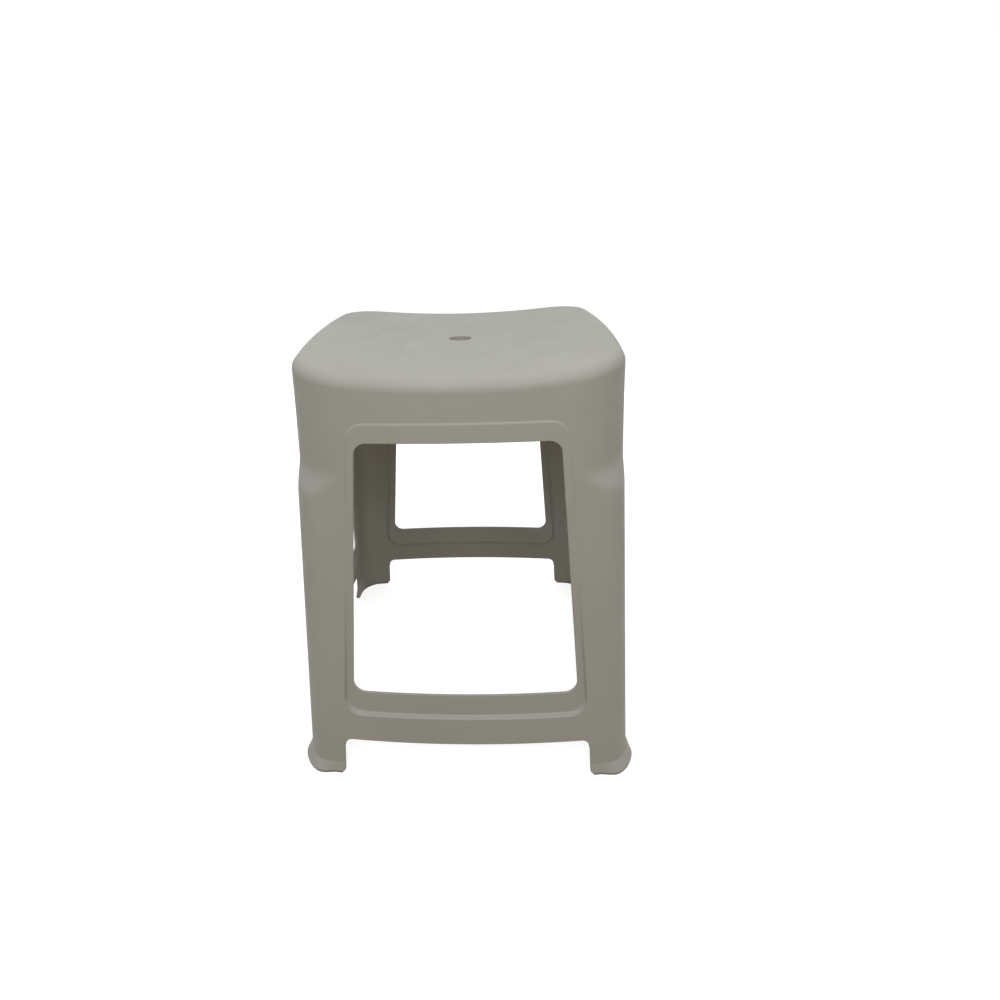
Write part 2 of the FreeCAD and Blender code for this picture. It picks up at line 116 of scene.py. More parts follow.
def half_at(z):
    """Half the width over the middles of the faces."""
    shoulder = BASE_HALF - LEG_DRAFT * SHOULDER_LOW
    return np.where(z < SHOULDER_LOW, BASE_HALF - LEG_DRAFT * z,
                    shoulder - APRON_DRAFT * (z - SHOULDER_LOW))


def corner_at(z):
    """Radius of the upright corners, which grows over the shoulder."""
    low, high = SHOULDER_LOW - SHOULDER_BELOW, SHOULDER_HIGH + SHOULDER_ABOVE
    part = np.clip((z - low) / (high - low), 0, 1)
    return LEG_CORNER + (SEAT_CORNER - LEG_CORNER) * part ** 3 * (10 - 15 * part + 6 * part * part)


def arcs(half, corner):
    """Radius of a side arc, its centre's distance, the corner's centre, and where they meet."""
    large = (half ** 2 + BOW ** 2) / (2 * BOW)
    away = large - half
    centre = (np.sqrt(2 * (large - corner) ** 2 - away ** 2) - away) / 2
    return large, away, centre, np.arctan2(centre, centre + away)


def quarter(steps):
    """Angles of a quarter turn."""
    return [math.pi / 2 * i / steps for i in range(steps + 1)]


def window_half(z):
    return WINDOW_LOW_HALF - WINDOW_LEAN * (z - RAIL_TOP)


def gap_half(z):
    return GAP_FLOOR - (GAP_FLOOR - GAP_TOP) * z / RAIL_LOW


# The steeper face on which the strips round the windows lie.
STEEP_LOW = BASE_HALF - LEG_DRAFT * STRIP_LOW - STRIP_SINK_LOW
STEEP_HIGH = float(half_at(STRIP_HIGH)) + STRIP_SINK_HIGH
STEEP_LEAN = (STEEP_LOW - STEEP_HIGH) / (STRIP_HIGH - STRIP_LOW)


def steep_half(z):
    return STEEP_LOW - STEEP_LEAN * (z - STRIP_LOW)


def trapezoid_depth(s, z, low, high, side, radius):
    """Distance inside a rounded outline beside the window's slanted lines, below zero outside."""
    s = np.abs(s)
    slope = math.hypot(1, WINDOW_LEAN)
    low, high = low + radius, high - radius
    edge_low = window_half(low) + side - radius * slope
    edge_high = window_half(high) + side - radius * slope
    flat = np.minimum((window_half(z) + side - s) / slope - radius, np.minimum(z - low, high - z))
    below = (s > edge_low) & (z - low < WINDOW_LEAN * (s - edge_low))
    above = (s > edge_high) & (z - high > WINDOW_LEAN * (s - edge_high))
    depth = np.where(below, -np.hypot(s - edge_low, z - low), flat)
    return np.where(above, -np.hypot(s - edge_high, z - high), depth) + radius


def strip_depth(s, z):
    return trapezoid_depth(s, z, STRIP_LOW, STRIP_HIGH, STRIP_SIDE, STRIP_CORNER)


def foot_profile():
    """Distance up the outside of a foot, with heights and overhangs: rim, lip, ledge, hollow."""
    sweep = math.pi / 2 - LEDGE_SLOPE
    rim_top, ledge_top = SOLE + RIM, SOLE + RIM + FLARE
    lip, hollow = LIP_RADIUS, HOLLOW_RADIUS
    lip_steps, ledge_steps, hollow_steps = 6, 5, 24
    points = [(SOLE + EDGE, FLANGE)]
    for i in range(lip_steps + 1):
        turn = sweep * i / lip_steps
        points.append((rim_top - lip * (1 - math.sin(turn)), FLANGE - lip * (1 - math.cos(turn))))
    low = points[-1]
    high = (ledge_top - hollow * math.sin(sweep), hollow * (1 - math.cos(sweep)))
    for i in range(1, ledge_steps):
        points.append(tuple(a + (b - a) * i / ledge_steps for a, b in zip(low, high)))
    for i in range(hollow_steps + 1):
        turn = sweep * (1 - i / hollow_steps)
        points.append((ledge_top - hollow * math.sin(turn), hollow * (1 - math.cos(turn))))
    table = np.array(points)
    length = np.concatenate([[0], np.cumsum(np.hypot(*np.diff(table, axis=0).T))])
    return length, table[:, 0], table[:, 1]


FOOT_Q, FOOT_Z, FOOT_OUT = foot_profile()
FOOT_END = FOOT_Q[-1]
FOOT_TOP = FOOT_Z[-1]


def height_of(q):
    return np.where(q < FOOT_END, np.interp(q, FOOT_Q, FOOT_Z), FOOT_TOP + q - FOOT_END)


def place_of(z):
    return np.where(z < FOOT_TOP, np.interp(z, FOOT_Z, FOOT_Q), FOOT_END + z - FOOT_TOP)


def overhang(q):
    return np.interp(q, FOOT_Q, FOOT_OUT)


def reach(q):
    """Unrolled distance from the middle of a face to the corner's diagonal."""
    z, out = height_of(q), overhang(q)
    corner = corner_at(z)
    large, away, centre, turn = arcs(half_at(z), corner)
    return (large + out) * np.sin(turn) + (corner + out) * (np.pi / 4 - turn)


def flange_share(along, sideways):
    """How much of its full width the flange has at a distance from the inner end of a foot.

    It grows towards the corner, and sooner on the stool's sides than on its front and back.
    """
    least, start, length = FLANGE_SIDEWAYS if sideways else FLANGE_FORWARD
    share = (least + (FLANGE - least) * smooth((along - start) / length)) / FLANGE
    rounding = np.sqrt(1 - (1 - np.clip(along / FLANGE_END, 0, 1)) ** 2)
    return share * (FLANGE_END_SHARE + (1 - FLANGE_END_SHARE) * rounding)


def strip_share(s, z, inside):
    """1 on the strip round the window, 0 on the plain face, with a soft step between them."""
    depth = strip_depth(s, z)
    if inside:
        return smooth((depth + WALL) / INNER_STEP) * (1 - smooth((z - INNER_FADE_LOW) / INNER_FADE))
    return smooth(depth / STEP_WIDTH + STEP_AHEAD)


def strip_outward(s, z, inside):
    """How far out the strip lies."""
    steep = steep_half(z)
    large = (steep ** 2 + BOW ** 2) / (2 * BOW)
    radius = large - WALL if inside else large
    return np.sqrt(radius ** 2 - s ** 2) - (large - steep)


def lift(u, q, inside, sideways=False):
    """Across, outward, height over the unrolled face, and the outline's direction there."""
    z, out = height_of(q), overhang(q)
    far = np.abs(u)
    corner = corner_at(z)
    large, away, centre, turn = arcs(half_at(z), corner)
    if inside:
        out = np.full_like(z, -WALL)
        edge = (large + out) * np.sin(turn)
        rate = (np.pi / 4 - turn) / (reach(q) - edge)
    else:
        out = out * flange_share(far - gap_half(z), sideways)
        edge = (large + out) * np.sin(turn)
        rate = 1 / (corner + out)
    flat = far <= edge
    angle = np.where(flat, np.arcsin(np.clip(far / (large + out), 0, MOST_SINE)), turn + (far - edge) * rate)
    s = np.where(flat, far, centre + (corner + out) * np.sin(angle))
    n = np.where(flat, (large + out) * np.cos(angle) - away, centre + (corner + out) * np.cos(angle))
    n = n + strip_share(s, z, inside) * (strip_outward(s, z, inside) - n)
    side = np.sign(u) + (u == 0)
    return s * side, n, z, angle * side


def rounded(corners, radius, grow, turns):
    """Points and outward directions round a convex outline with rounded corners."""
    corners = np.array(corners, float)
    count = len(corners)
    points, ways = [], []

    def fill(target):
        """Even steps along a straight side, from the last point to the target."""
        last, way = points[-1], ways[-1]
        steps = max(1, round(float(np.hypot(*(target - last))) / LOOP_STEP))
        for j in range(1, steps):
            points.append(last + (target - last) * j / steps)
            ways.append(way)

    for i in range(count):
        before = corners[i] - corners[i - 1]
        after = corners[(i + 1) % count] - corners[i]
        before, after = before / np.hypot(*before), after / np.hypot(*after)
        first, second = np.array([before[1], -before[0]]), np.array([after[1], -after[0]])
        centre = corners[i] - radius * (first + second) / (1 + first @ second)
        start = math.atan2(first[1], first[0])
        sweep = math.acos(np.clip(first @ second, -1, 1))
        arc_ways = [(math.cos(start + sweep * j / turns), math.sin(start + sweep * j / turns))
                    for j in range(turns + 1)]
        arc = [centre + (radius + grow) * np.array(way) for way in arc_ways]
        if points:
            fill(arc[0])
        points += arc
        ways += arc_ways
    fill(points[0])
    return np.array(points), np.array(ways)


def strip_corners():
    low = window_half(STRIP_LOW) + STRIP_SIDE
    high = window_half(STRIP_HIGH) + STRIP_SIDE
    return [(-low, STRIP_LOW), (low, STRIP_LOW), (high, STRIP_HIGH), (-high, STRIP_HIGH)]


def bottom_curve():
    """Right half of the lower edge, from under the rail to the sole's corner: u, q and direction."""
    lean = math.atan2(GAP_FLOOR - GAP_TOP, RAIL_LOW)
    centre_s = gap_half(RAIL_LOW) - GAP_CORNER * (1 + math.sin(lean)) / math.cos(lean)
    centre_z = RAIL_LOW - GAP_CORNER
    radius = GAP_CORNER + EDGE
    rail_points, gap_turns, leg_step, foot_points, foot_turns = 24, 8, 3.0, 18, 4
    rows = [(s, RAIL_LOW + EDGE, 0.0, 1.0) for s in np.linspace(0, centre_s, rail_points)[:-1]]
    for i in range(gap_turns + 1):
        angle = math.pi / 2 + (lean - math.pi / 2) * i / gap_turns
        rows.append((centre_s + radius * math.cos(angle), centre_z + radius * math.sin(angle),
                     math.cos(angle), math.sin(angle)))
    foot_z = SOLE + FOOT_CORNER
    leg = np.arange(centre_z - leg_step, FOOT_TOP, -leg_step)
    foot = height_of(np.linspace(FOOT_END, float(place_of(foot_z)), foot_points)[:-1])
    rows += [(gap_half(z) + EDGE, z, math.cos(lean), math.sin(lean)) for z in (*leg, *foot)]
    foot_s = gap_half(foot_z) + FOOT_CORNER
    small = FOOT_CORNER - EDGE
    for angle in quarter(foot_turns):
        rows.append((foot_s - small * math.cos(angle), foot_z - small * math.sin(angle),
                     math.cos(angle), math.sin(angle)))
    table = np.array(rows)
    u, q, way = table[:, 0], place_of(table[:, 1]), table[:, 2:]
    end = float(reach(np.array(0.0)))
    sole = np.concatenate([np.linspace(u[-1], SOLE_BEND, 6)[1:], np.linspace(SOLE_BEND, end, 16)[1:]])
    u = np.concatenate([u, sole])
    q = np.concatenate([q, np.zeros(len(sole))])
    way = np.concatenate([way, np.tile([0.0, 1.0], (len(sole), 1))])
    return u, q, way


def row_places():
    """Rows up a face: close together on the foot and round the shoulder."""
    low, high = SHOULDER_LOW - ROW_MARGIN, SHOULDER_HIGH + ROW_MARGIN
    foot = np.linspace(0, FOOT_END, 21)
    legs = place_of(np.linspace(FOOT_TOP, low, 48)[1:])
    shoulder = place_of(np.linspace(low, high, 16)[1:])
    apron = place_of(np.linspace(high, TOP_LINE, 9)[1:])
    return np.concatenate([foot, legs, shoulder, apron])


def columns_at(q):
    """Columns of a row: even across the face, closer round the corner."""
    z, out = height_of(q), overhang(q)
    large, away, centre, turn = arcs(half_at(z), corner_at(z))
    edge = float((large + out) * np.sin(turn))
    flat = np.linspace(0, edge, max(2, round(edge / COLUMN_STEP)) + 1)
    return np.concatenate([flat, np.linspace(edge, float(reach(q)), CORNER_COLUMNS + 1)[1:]])


def within(points, loop):
    """Which points lie inside a closed loop."""
    x, y = points[:, 0], points[:, 1]
    inside = np.zeros(len(x), bool)
    for i in range(len(loop)):
        (x0, y0), (x1, y1) = loop[i - 1], loop[i]
        if y0 != y1:
            inside ^= ((y0 > y) != (y1 > y)) & (x < x0 + (y - y0) * (x1 - x0) / (y1 - y0))
    return inside


class Plan:
    """Points and closed loops of a flat drawing that is to be filled with triangles."""

    def __init__(self):
        self.points, self.edges = [], []

    def loop(self, new):
        start, count = len(self.points), len(new)
        self.points += [(float(p[0]), float(p[1])) for p in new]
        self.edges += [(start + i, start + (i + 1) % count) for i in range(count)]

    def triangles(self, kind):
        """All points, and the triangles between them, which all turn one way.

        With kind 0 they fill the plan's hull, and with 1 what the loops enclose.
        """
        found = delaunay_2d_cdt([Vector(p) for p in self.points], self.edges, [], kind, SAME_POINT)
        net = np.array([tuple(v) for v in found[0]])
        for new, old in enumerate(found[3]):
            if old:
                net[new] = self.points[old[0]]
        triangles = np.array(found[2])
        a, b, c = (net[triangles[:, i]] for i in range(3))
        area = (b[:, 0] - a[:, 0]) * (c[:, 1] - a[:, 1]) - (b[:, 1] - a[:, 1]) * (c[:, 0] - a[:, 0])
        triangles[area < 0] = triangles[area < 0][:, ::-1]
        return net, triangles[np.abs(area) > SLIVER]


def unrolled(points):
    """Points across and up a face, with their heights turned into distances up the face."""
    return [(s, float(place_of(np.array(z)))) for s, z in points]


def points_by_bottom(bottom):
    """Points that keep the mesh fine beside the lower edge."""
    found = []
    for grow in BOTTOM_ROWS:
        for u, q, way in zip(*bottom):
            if q >= FOOT_END - BOTTOM_MARGIN or grow == BOTTOM_ROWS[0]:
                found.append((u + grow * way[0], float(height_of(np.array(q))) + grow * way[1]))
    return unrolled(found)


def points_in_face(rows):
    """Points over the right half of a face, clear of its loops."""
    found = []
    for q in rows[1:-1]:
        z = float(height_of(q))
        if q <= FOOT_END:
            found += [(gap_half(z) + aside, q) for aside in FOOT_COLUMNS]
        beside = LEG_CLEAR if q > FOOT_END else FOOT_CLEAR
        for u in columns_at(q)[:-1]:
            window = max(u - window_half(z), RAIL_TOP - z, z - WINDOW_TOP)
            strip = float(strip_depth(np.array(u), np.array(z)))
            on_step = STRIP_CLEAR[0] < strip < STRIP_CLEAR[1]
            in_gap = z < RAIL_LOW + CLEAR and u < gap_half(z) + beside
            if window >= CLEAR and not on_step and not in_gap:
                found.append((u, q))
    return found


def face_net():
    """The unrolled face as triangles, with the window and the gap left out."""
    rows = row_places()
    bottom = bottom_curve()
    right = list(zip(*bottom[:2])) + list(zip(reach(rows)[1:], rows[1:]))
    right += [(u, rows[-1]) for u in columns_at(rows[-1])[::-1][1:]]
    outline = right + [(-u, q) for u, q in right[::-1][1:-1]]
    window = rounded(WINDOW, WINDOW_CORNER, EDGE, WINDOW_TURNS)
    plan = Plan()
    plan.loop(outline)
    plan.loop(unrolled(window[0]))
    for grow in STRIP_RINGS:
        plan.loop(unrolled(rounded(strip_corners(), STRIP_CORNER, grow, STRIP_TURNS)[0]))
    plan.loop(unrolled(rounded(WINDOW, WINDOW_CORNER, EDGE + WINDOW_RING, WINDOW_TURNS)[0]))
    extra = points_by_bottom(bottom) + points_in_face(rows)
    plan.points += extra + [(-u, q) for u, q in extra if u > 0]
    net, triangles = plan.triangles(0)
    middle = net[triangles].mean(axis=1)
    keep = within(middle, outline) & ~within(middle, unrolled(window[0]))
    return net, triangles[keep], bottom, window


class Skin:
    """Collects points with their surface directions, and triangles or quads between them."""

    def __init__(self):
        self.points, self.normals, self.faces, self.count = [], [], [], 0

    def add(self, points, normals, faces):
        self.points.append(np.asarray(points, float).reshape(-1, 3))
        self.normals.append(np.asarray(normals, float).reshape(-1, 3))
        self.faces += [tuple(int(i) + self.count for i in face) for face in faces]
        self.count += len(self.points[-1])

    def grid(self, points, normals, closed):
        """Rows of points joined by quads; closed rows join their ends."""
        points = np.asarray(points, float)
        rows, columns = points.shape[:2]
        last = columns if closed else columns - 1
        faces = [(r * columns + c, r * columns + (c + 1) % columns,
                  (r + 1) * columns + (c + 1) % columns, (r + 1) * columns + c)
                 for r in range(rows - 1) for c in range(last)]
        self.add(points, normals, faces)


def unit(v):
    return v / np.maximum(np.linalg.norm(v, axis=-1, keepdims=True), 1e-12)


def placed(face, s, n, z):
    """World points of a face of the stool: 0 is the front, then on round to the right."""
    turn = face * math.pi / 2
    x = s * math.cos(turn) + n * math.sin(turn)
    y = s * math.sin(turn) - n * math.cos(turn)
    return np.stack([x, y, z + 0 * x], axis=-1)


def face_points(face, u, q, inside):
    s, n, z, angle = lift(u, q, inside, face % 2 == 1)
    return placed(face, s, n, z)


def face_normals(face, u, q, inside):
    d = FACE_DIFFERENCE
    across = face_points(face, u + d, q, inside) - face_points(face, u - d, q, inside)
    upward = face_points(face, u, q + d, inside) - face_points(face, u, q - d, inside)
    return unit(np.cross(across, upward)) * (-1 if inside else 1)


def rim(skin, face, u, q, way, closed):
    """The edge of an opening: rounded on both sides, with the wall's thickness between."""
    rings, normals = [], []
    flat = np.abs(way[:, 0])[:, None]
    for inside, sign in ((False, 1.0), (True, -1.0)):
        s, n, z, angle = lift(u, q, inside, face % 2 == 1)
        outward = np.stack([np.sin(angle), np.cos(angle)], axis=-1)
        outward = unit(outward * (1 - flat) + np.array([0.0, 1.0]) * flat)
        new, new_normals = [], []
        for turn in quarter(EDGE_STEPS):
            sink = EDGE * (1 - math.cos(turn)) * sign
            aside = EDGE * math.sin(turn)
            new.append(placed(face, s - way[:, 0] * aside - outward[:, 0] * sink,
                              n - outward[:, 1] * sink, z - way[:, 1] * aside))
            lean = outward * math.cos(turn) * sign
            new_normals.append(placed(face, lean[:, 0] - way[:, 0] * math.sin(turn), lean[:, 1],
                                      -way[:, 1] * math.sin(turn)))
        rings += new[::-1] if inside else new
        normals += new_normals[::-1] if inside else new_normals
    skin.grid(rings, [unit(v) for v in normals], closed)


def crown_half():
    """Half the width at the height where the roll starts, as in the middle of a face."""
    return float(half_at(SEAT_MIDDLE - ROLL))


def seat_height(x):
    """Height of the saddle, which rises along x from the middle to both ends."""
    span = crown_half() - ROLL
    radius = (span ** 2 + SEAT_DIP ** 2) / (2 * SEAT_DIP)
    return SEAT_MIDDLE + radius - np.sqrt(radius ** 2 - x ** 2)


def crown_point(face, part, v, inside):
    """The apron from the top line (v 0) to the roll (1), and over the roll to the seat (2).

    part runs -1 to 1 over a face, and half of it lies on the side arc, half on the corners.
    """
    shrink = WALL if inside else 0.0
    sink = SKIN if inside else 0.0
    roll = ROLL - shrink
    turn = np.clip(v - 1, 0, 1) * math.pi / 2
    inset = roll * (1 - np.cos(turn))
    rise = np.clip(v, 0, 1)
    half = float(half_at(TOP_LINE)) * (1 - rise) + crown_half() * rise - shrink - inset
    corner = SEAT_CORNER - shrink - inset
    large, away, centre, tangent = arcs(half, corner)
    far = np.abs(part)
    flat = far <= 0.5
    angle = np.where(flat, tangent * far * 2, tangent + (math.pi / 4 - tangent) * (far * 2 - 1))
    s = np.where(flat, large * np.sin(angle), centre + corner * np.sin(angle)) * np.sign(part)
    n = np.where(flat, large * np.cos(angle) - away, centre + corner * np.cos(angle))
    world = placed(face, s, n, 0 * s)
    top = seat_height(world[..., 0]) - sink
    apron = TOP_LINE + rise * (top - roll - TOP_LINE)
    world[..., 2] = np.where(v <= 1, apron, top - roll * (1 - np.sin(turn)))
    return world


def crown_parts():
    """Columns of the top line as parts of a face, at the net's own points."""
    u = columns_at(row_places()[-1])
    large, away, centre, turn = arcs(half_at(TOP_LINE), corner_at(TOP_LINE))
    edge = large * np.sin(turn)
    side = np.arcsin(np.clip(u / large, 0, 0.5)) / turn / 2
    round_off = 0.5 + (u - edge) / SEAT_CORNER / (math.pi / 4 - turn) / 2
    right = np.where(u <= edge + 1e-9, side, round_off)
    return np.concatenate([-right[::-1], right[1:-1]])


def crown_normals(face, parts, v, inside):
    def at(part, height):
        return crown_point(face, part, np.full_like(part, height), inside)

    d = CROWN_DIFFERENCE
    across = at(parts + d, v) - at(parts - d, v)
    upward = at(parts, min(v + d, 2)) - at(parts, max(v - d, 0))
    return unit(np.cross(across, upward)) * (-1 if inside else 1)


def crown(skin, inside):
    """Apron top and rolled edge all round. Returns the ring where the seat starts."""
    parts = crown_parts()
    rows, normals = [], []
    for v in np.concatenate([np.linspace(0, 1, 5), 1 + np.linspace(0, 1, 15)[1:]]):
        height = np.full_like(parts, v)
        row = np.concatenate([crown_point(face, parts, height, inside) for face in range(4)])
        row_normals = np.concatenate([crown_normals(face, parts, v, inside) for face in range(4)])
        rows.append(row[::-1] if inside else row)
        normals.append(row_normals[::-1] if inside else row_normals)
    skin.grid(rows, normals, True)
    return rows[-1]


def grip_end(x):
    """How far from the middle the ridge at x ends, inside the seat's rounded edge."""
    corner = max(0.0, abs(x) - GRIP_CORNER_START)
    return GRIP_REACH - GRIP_BOW * x * x - GRIP_CORNER_BOW * corner * corner


def grip_runs():
    """The straight ridges of the seat, as (x, start, end), left out round the hole."""
    runs = []
    for i in range(-GRIP_LINES_ASIDE, GRIP_LINES_ASIDE + 1):
        x = i * GRIP_PITCH
        end = grip_end(x)
        keep_out = math.sqrt(max(0.0, GRIP_KEEP_OUT ** 2 - x * x))
        if keep_out > 0:
            runs += [(x, -end, -keep_out), (x, keep_out, end)]
        else:
            runs.append((x, -end, end))
    return runs


def grip_height(x, y):
    height = np.zeros_like(x)
    for line, start, end in grip_runs():
        along = np.clip(y, start + GRIP_HALF_WIDTH, end - GRIP_HALF_WIDTH)
        away = np.hypot(x - line, y - along)
        height = np.maximum(height, smooth((GRIP_HALF_WIDTH - away) / GRIP_FLANK))
    return height * GRIP_HEIGHT


def grip_loop(line, start, end, width):
    """A loop round a ridge, at a distance from its middle line."""
    low, high = start + GRIP_HALF_WIDTH, end - GRIP_HALF_WIDTH
    steps = max(2, round((high - low) / GRIP_STEP))
    rise = [low + (high - low) * i / steps for i in range(steps + 1)]
    turns = [math.pi * i / GRIP_TURNS for i in range(1, GRIP_TURNS)]
    return ([(line + width, y) for y in rise]
            + [(line + width * math.cos(turn), high + width * math.sin(turn)) for turn in turns]
            + [(line - width, y) for y in rise[::-1]]
            + [(line - width * math.cos(turn), low - width * math.sin(turn)) for turn in turns])


def points_in_seat(outline):
    """Points over the seat, clear of its edge, its hole and its ridges."""
    across = np.arange(-SEAT_SPREAD, SEAT_SPREAD + 1, SEAT_STEP_X)
    along = np.arange(-SEAT_SPREAD, SEAT_SPREAD + 1, SEAT_STEP_Y)
    spread = np.stack(np.meshgrid(across, along), axis=-1).reshape(-1, 2)
    found = []
    for x, y in spread[within(spread, outline.tolist())]:
        on_ridge = any(abs(x - line) < GRIP_CLEAR and start - GRIP_CLEAR < y < end + GRIP_CLEAR
                       for line, start, end in grip_runs())
        from_edge = np.hypot(*(outline - (x, y)).T).min()
        if math.hypot(x, y) > HOLE + HOLE_CLEAR and from_edge > SEAT_EDGE_CLEAR and not on_ridge:
            found.append((x, y))
    return found


def seat(skin, ring):
    """The sitting surface from the roll's inner ring to the hole, with its ridges."""
    plan = Plan()
    plan.loop(ring)
    start = HOLE + HOLE_EDGE
    for radius in (start, HOLE + HOLE_RING):
        plan.loop(radius * CIRCLE)
    for line, low, high in grip_runs():
        for width in GRIP_LOOPS:
            plan.loop(grip_loop(line, low, high, width))
    plan.points += points_in_seat(np.array(ring)[:, :2])
    net, triangles = plan.triangles(1)
    middle = net[triangles].mean(axis=1)
    keep = np.hypot(middle[:, 0], middle[:, 1]) > start * math.cos(math.pi / CIRCLE_STEPS) - 1e-3

    def height(x, y):
        return seat_height(x) + grip_height(x, y)

    x, y = net[:, 0], net[:, 1]
    d = SEAT_DIFFERENCE
    slope_x = (height(x + d, y) - height(x - d, y)) / (2 * d)
    slope_y = (height(x, y + d) - height(x, y - d)) / (2 * d)
    normals = unit(np.stack([-slope_x, -slope_y, np.ones_like(x)], axis=-1))
    skin.add(np.stack([x, y, height(x, y)], axis=-1), normals, triangles[keep])


def hole_and_collar(skin):
    """The hole's rounded upper edge and its wall, and the collar below with its rounded foot."""
    rows, normals = [], []

    def add(radius, base, rise, out, up):
        """A ring at a rise over its base, and its surface direction as shares out and up."""
        x, y = radius * CIRCLE[:, 0], radius * CIRCLE[:, 1]
        rows.append(np.stack([x, y, base(x) + rise], axis=-1))
        normals.append(unit(np.stack([out * CIRCLE[:, 0], out * CIRCLE[:, 1], np.full_like(x, up)], axis=-1)))

    def collar_foot(x):
        return np.full_like(x, RIB_LOW)

    for turn in quarter(HOLE_EDGE_STEPS):
        add(HOLE + HOLE_EDGE * (1 - math.sin(turn)), seat_height, -HOLE_EDGE * (1 - math.cos(turn)),
            -math.sin(turn), math.cos(turn))
    for turn in quarter(EDGE_STEPS):
        add(HOLE + EDGE * (1 - math.cos(turn)), collar_foot, EDGE * (1 - math.sin(turn)),
            -math.cos(turn), -math.sin(turn))
    for turn in quarter(EDGE_STEPS):
        add(COLLAR - EDGE * (1 - math.sin(turn)), collar_foot, EDGE * (1 - math.cos(turn)),
            math.sin(turn), -math.cos(turn))
    add(COLLAR, seat_height, -SKIN, 1, 0)
    skin.grid([row[::-1] for row in rows], [row[::-1] for row in normals], True)


def underside(skin, ring):
    """Below the seat, from the inner roll in to the collar."""
    ring = np.asarray(ring)
    around = np.arctan2(ring[:, 1], ring[:, 0])
    collar = np.stack([np.cos(around), np.sin(around)], axis=-1) * (COLLAR - UNDERSIDE_IN)
    rows, normals = [], []
    for share in np.linspace(0, 1, UNDERSIDE_ROWS + 1):
        flat = ring[:, :2] * (1 - share) + collar * share
        x = flat[:, 0]
        rows.append(np.stack([x, flat[:, 1], seat_height(x) - SKIN], axis=-1))
        d = SEAT_DIFFERENCE
        slope = (seat_height(x + d) - seat_height(x - d)) / (2 * d)
        normals.append(unit(np.stack([slope, 0 * x, -np.ones_like(x)], axis=-1)))
    skin.grid(rows, normals, True)


def hollow_arc():
    """Radius of the hollow's side arc where its roll starts, and the distance of its centre."""
    return arcs(crown_half() - WALL, SEAT_CORNER - WALL)[:2]


def hollow_ceiling(x, y):
    """Height of the hollow's ceiling, which falls along the inner roll."""
    large, away = hollow_arc()
    near, far = sorted((abs(x), abs(y)))
    room = max(0.0, math.sqrt(large ** 2 - near ** 2) - away - far)
    roll = ROLL - WALL
    short = max(0.0, roll - room)
    return float(seat_height(x)) - SKIN - roll + math.sqrt(roll ** 2 - short ** 2)


# A rib's outline from the top of one side, under its rounded edge, to the top of the other: place
# across as a share of half the width, height over the lower edge with none at the top, and direction.
RIB_OUTLINE = [(-1, None, -1, 0), (-1, 0.5, -1, -0.2), (-0.7, 0.125, -0.5, -0.8), (0, 0, 0, -1),
               (0.7, 0.125, 0.5, -0.8), (1, 0.5, 1, -0.2), (1, None, 1, 0)]


def ribs(skin):
    """Four ribs below the seat, their tops and ends let into the skin and the wall."""
    large, away = hollow_arc()
    end = math.sqrt(large ** 2 - RIB_OFFSET ** 2) - away + RIB_END_IN
    fine = end - RIB_FINE
    steps = np.concatenate([np.linspace(-end, -fine, 12), np.linspace(-fine, fine, 30)[1:-1],
                            np.linspace(fine, end, 12)])
    for along_x in (True, False):
        across = np.array([0, 1, 0]) if along_x else np.array([1, 0, 0])
        for place in (-RIB_OFFSET, RIB_OFFSET):
            line = [(t, place) if along_x else (place, t) for t in steps]
            line = np.array([(x, y, hollow_ceiling(x, y) + RIB_TOP_IN) for x, y in line])
            rows, normals = [], []
            for aside, rise, out, up in RIB_OUTLINE:
                row = line + across * aside * RIB_WIDTH / 2
                if rise is not None:
                    row[:, 2] = RIB_LOW + rise
                rows.append(row)
                normals.append(np.tile(unit(across * out + np.array([0, 0, up])), (len(line), 1)))
            if not along_x:
                rows, normals = rows[::-1], normals[::-1]
            skin.grid(rows, normals, False)


def moulding():
    """The one-shot moulding as one mesh with its surface directions."""
    skin = Skin()
    net, triangles, (bottom_u, bottom_q, bottom_way), (window, window_way) = face_net()
    full_u = np.concatenate([-bottom_u[::-1], bottom_u[1:]])
    full_q = np.concatenate([bottom_q[::-1], bottom_q[1:]])
    full_way = np.concatenate([bottom_way[::-1] * np.array([-1.0, 1.0]), bottom_way[1:]])
    for face in range(4):
        for inside in (False, True):
            points = face_points(face, net[:, 0], net[:, 1], inside)
            normals = face_normals(face, net[:, 0], net[:, 1], inside)
            skin.add(points, normals, triangles[:, ::-1] if inside else triangles)
        rim(skin, face, full_u[::-1], full_q[::-1], full_way[::-1], False)
        rim(skin, face, window[:, 0], place_of(window[:, 1]), window_way, True)
    outer_ring = crown(skin, False)
    inner_ring = crown(skin, True)
    seat(skin, outer_ring)
    hole_and_collar(skin)
    underside(skin, inner_ring)
    ribs(skin)
    return skin


def mesh_object(name, skin):
    """An object of a skin, with every face wound the way its surface directions point."""
    points = np.concatenate(skin.points) * MILLIMETRE
    normals = np.concatenate(skin.normals)
    faces = []
    for face in skin.faces:
        a, b, c, d = (points[i] for i in (face + face[-1:])[:4])
        faces.append(face if np.cross(c - a, d - b) @ normals[list(face)].sum(axis=0) > 0 else face[::-1])
    mesh = bpy.data.meshes.new(name)
    mesh.from_pydata(points.tolist(), [], faces)
    mesh.polygons.foreach_set("use_smooth", [True] * len(mesh.polygons))
    mesh.normals_split_custom_set_from_vertices(normals.tolist())
    mesh.update()
    return put(name, mesh)


def put(name, data):
    """A new object in the scene."""
    thing = bpy.data.objects.new(name, data)
    bpy.context.scene.collection.objects.link(thing)
    return thing


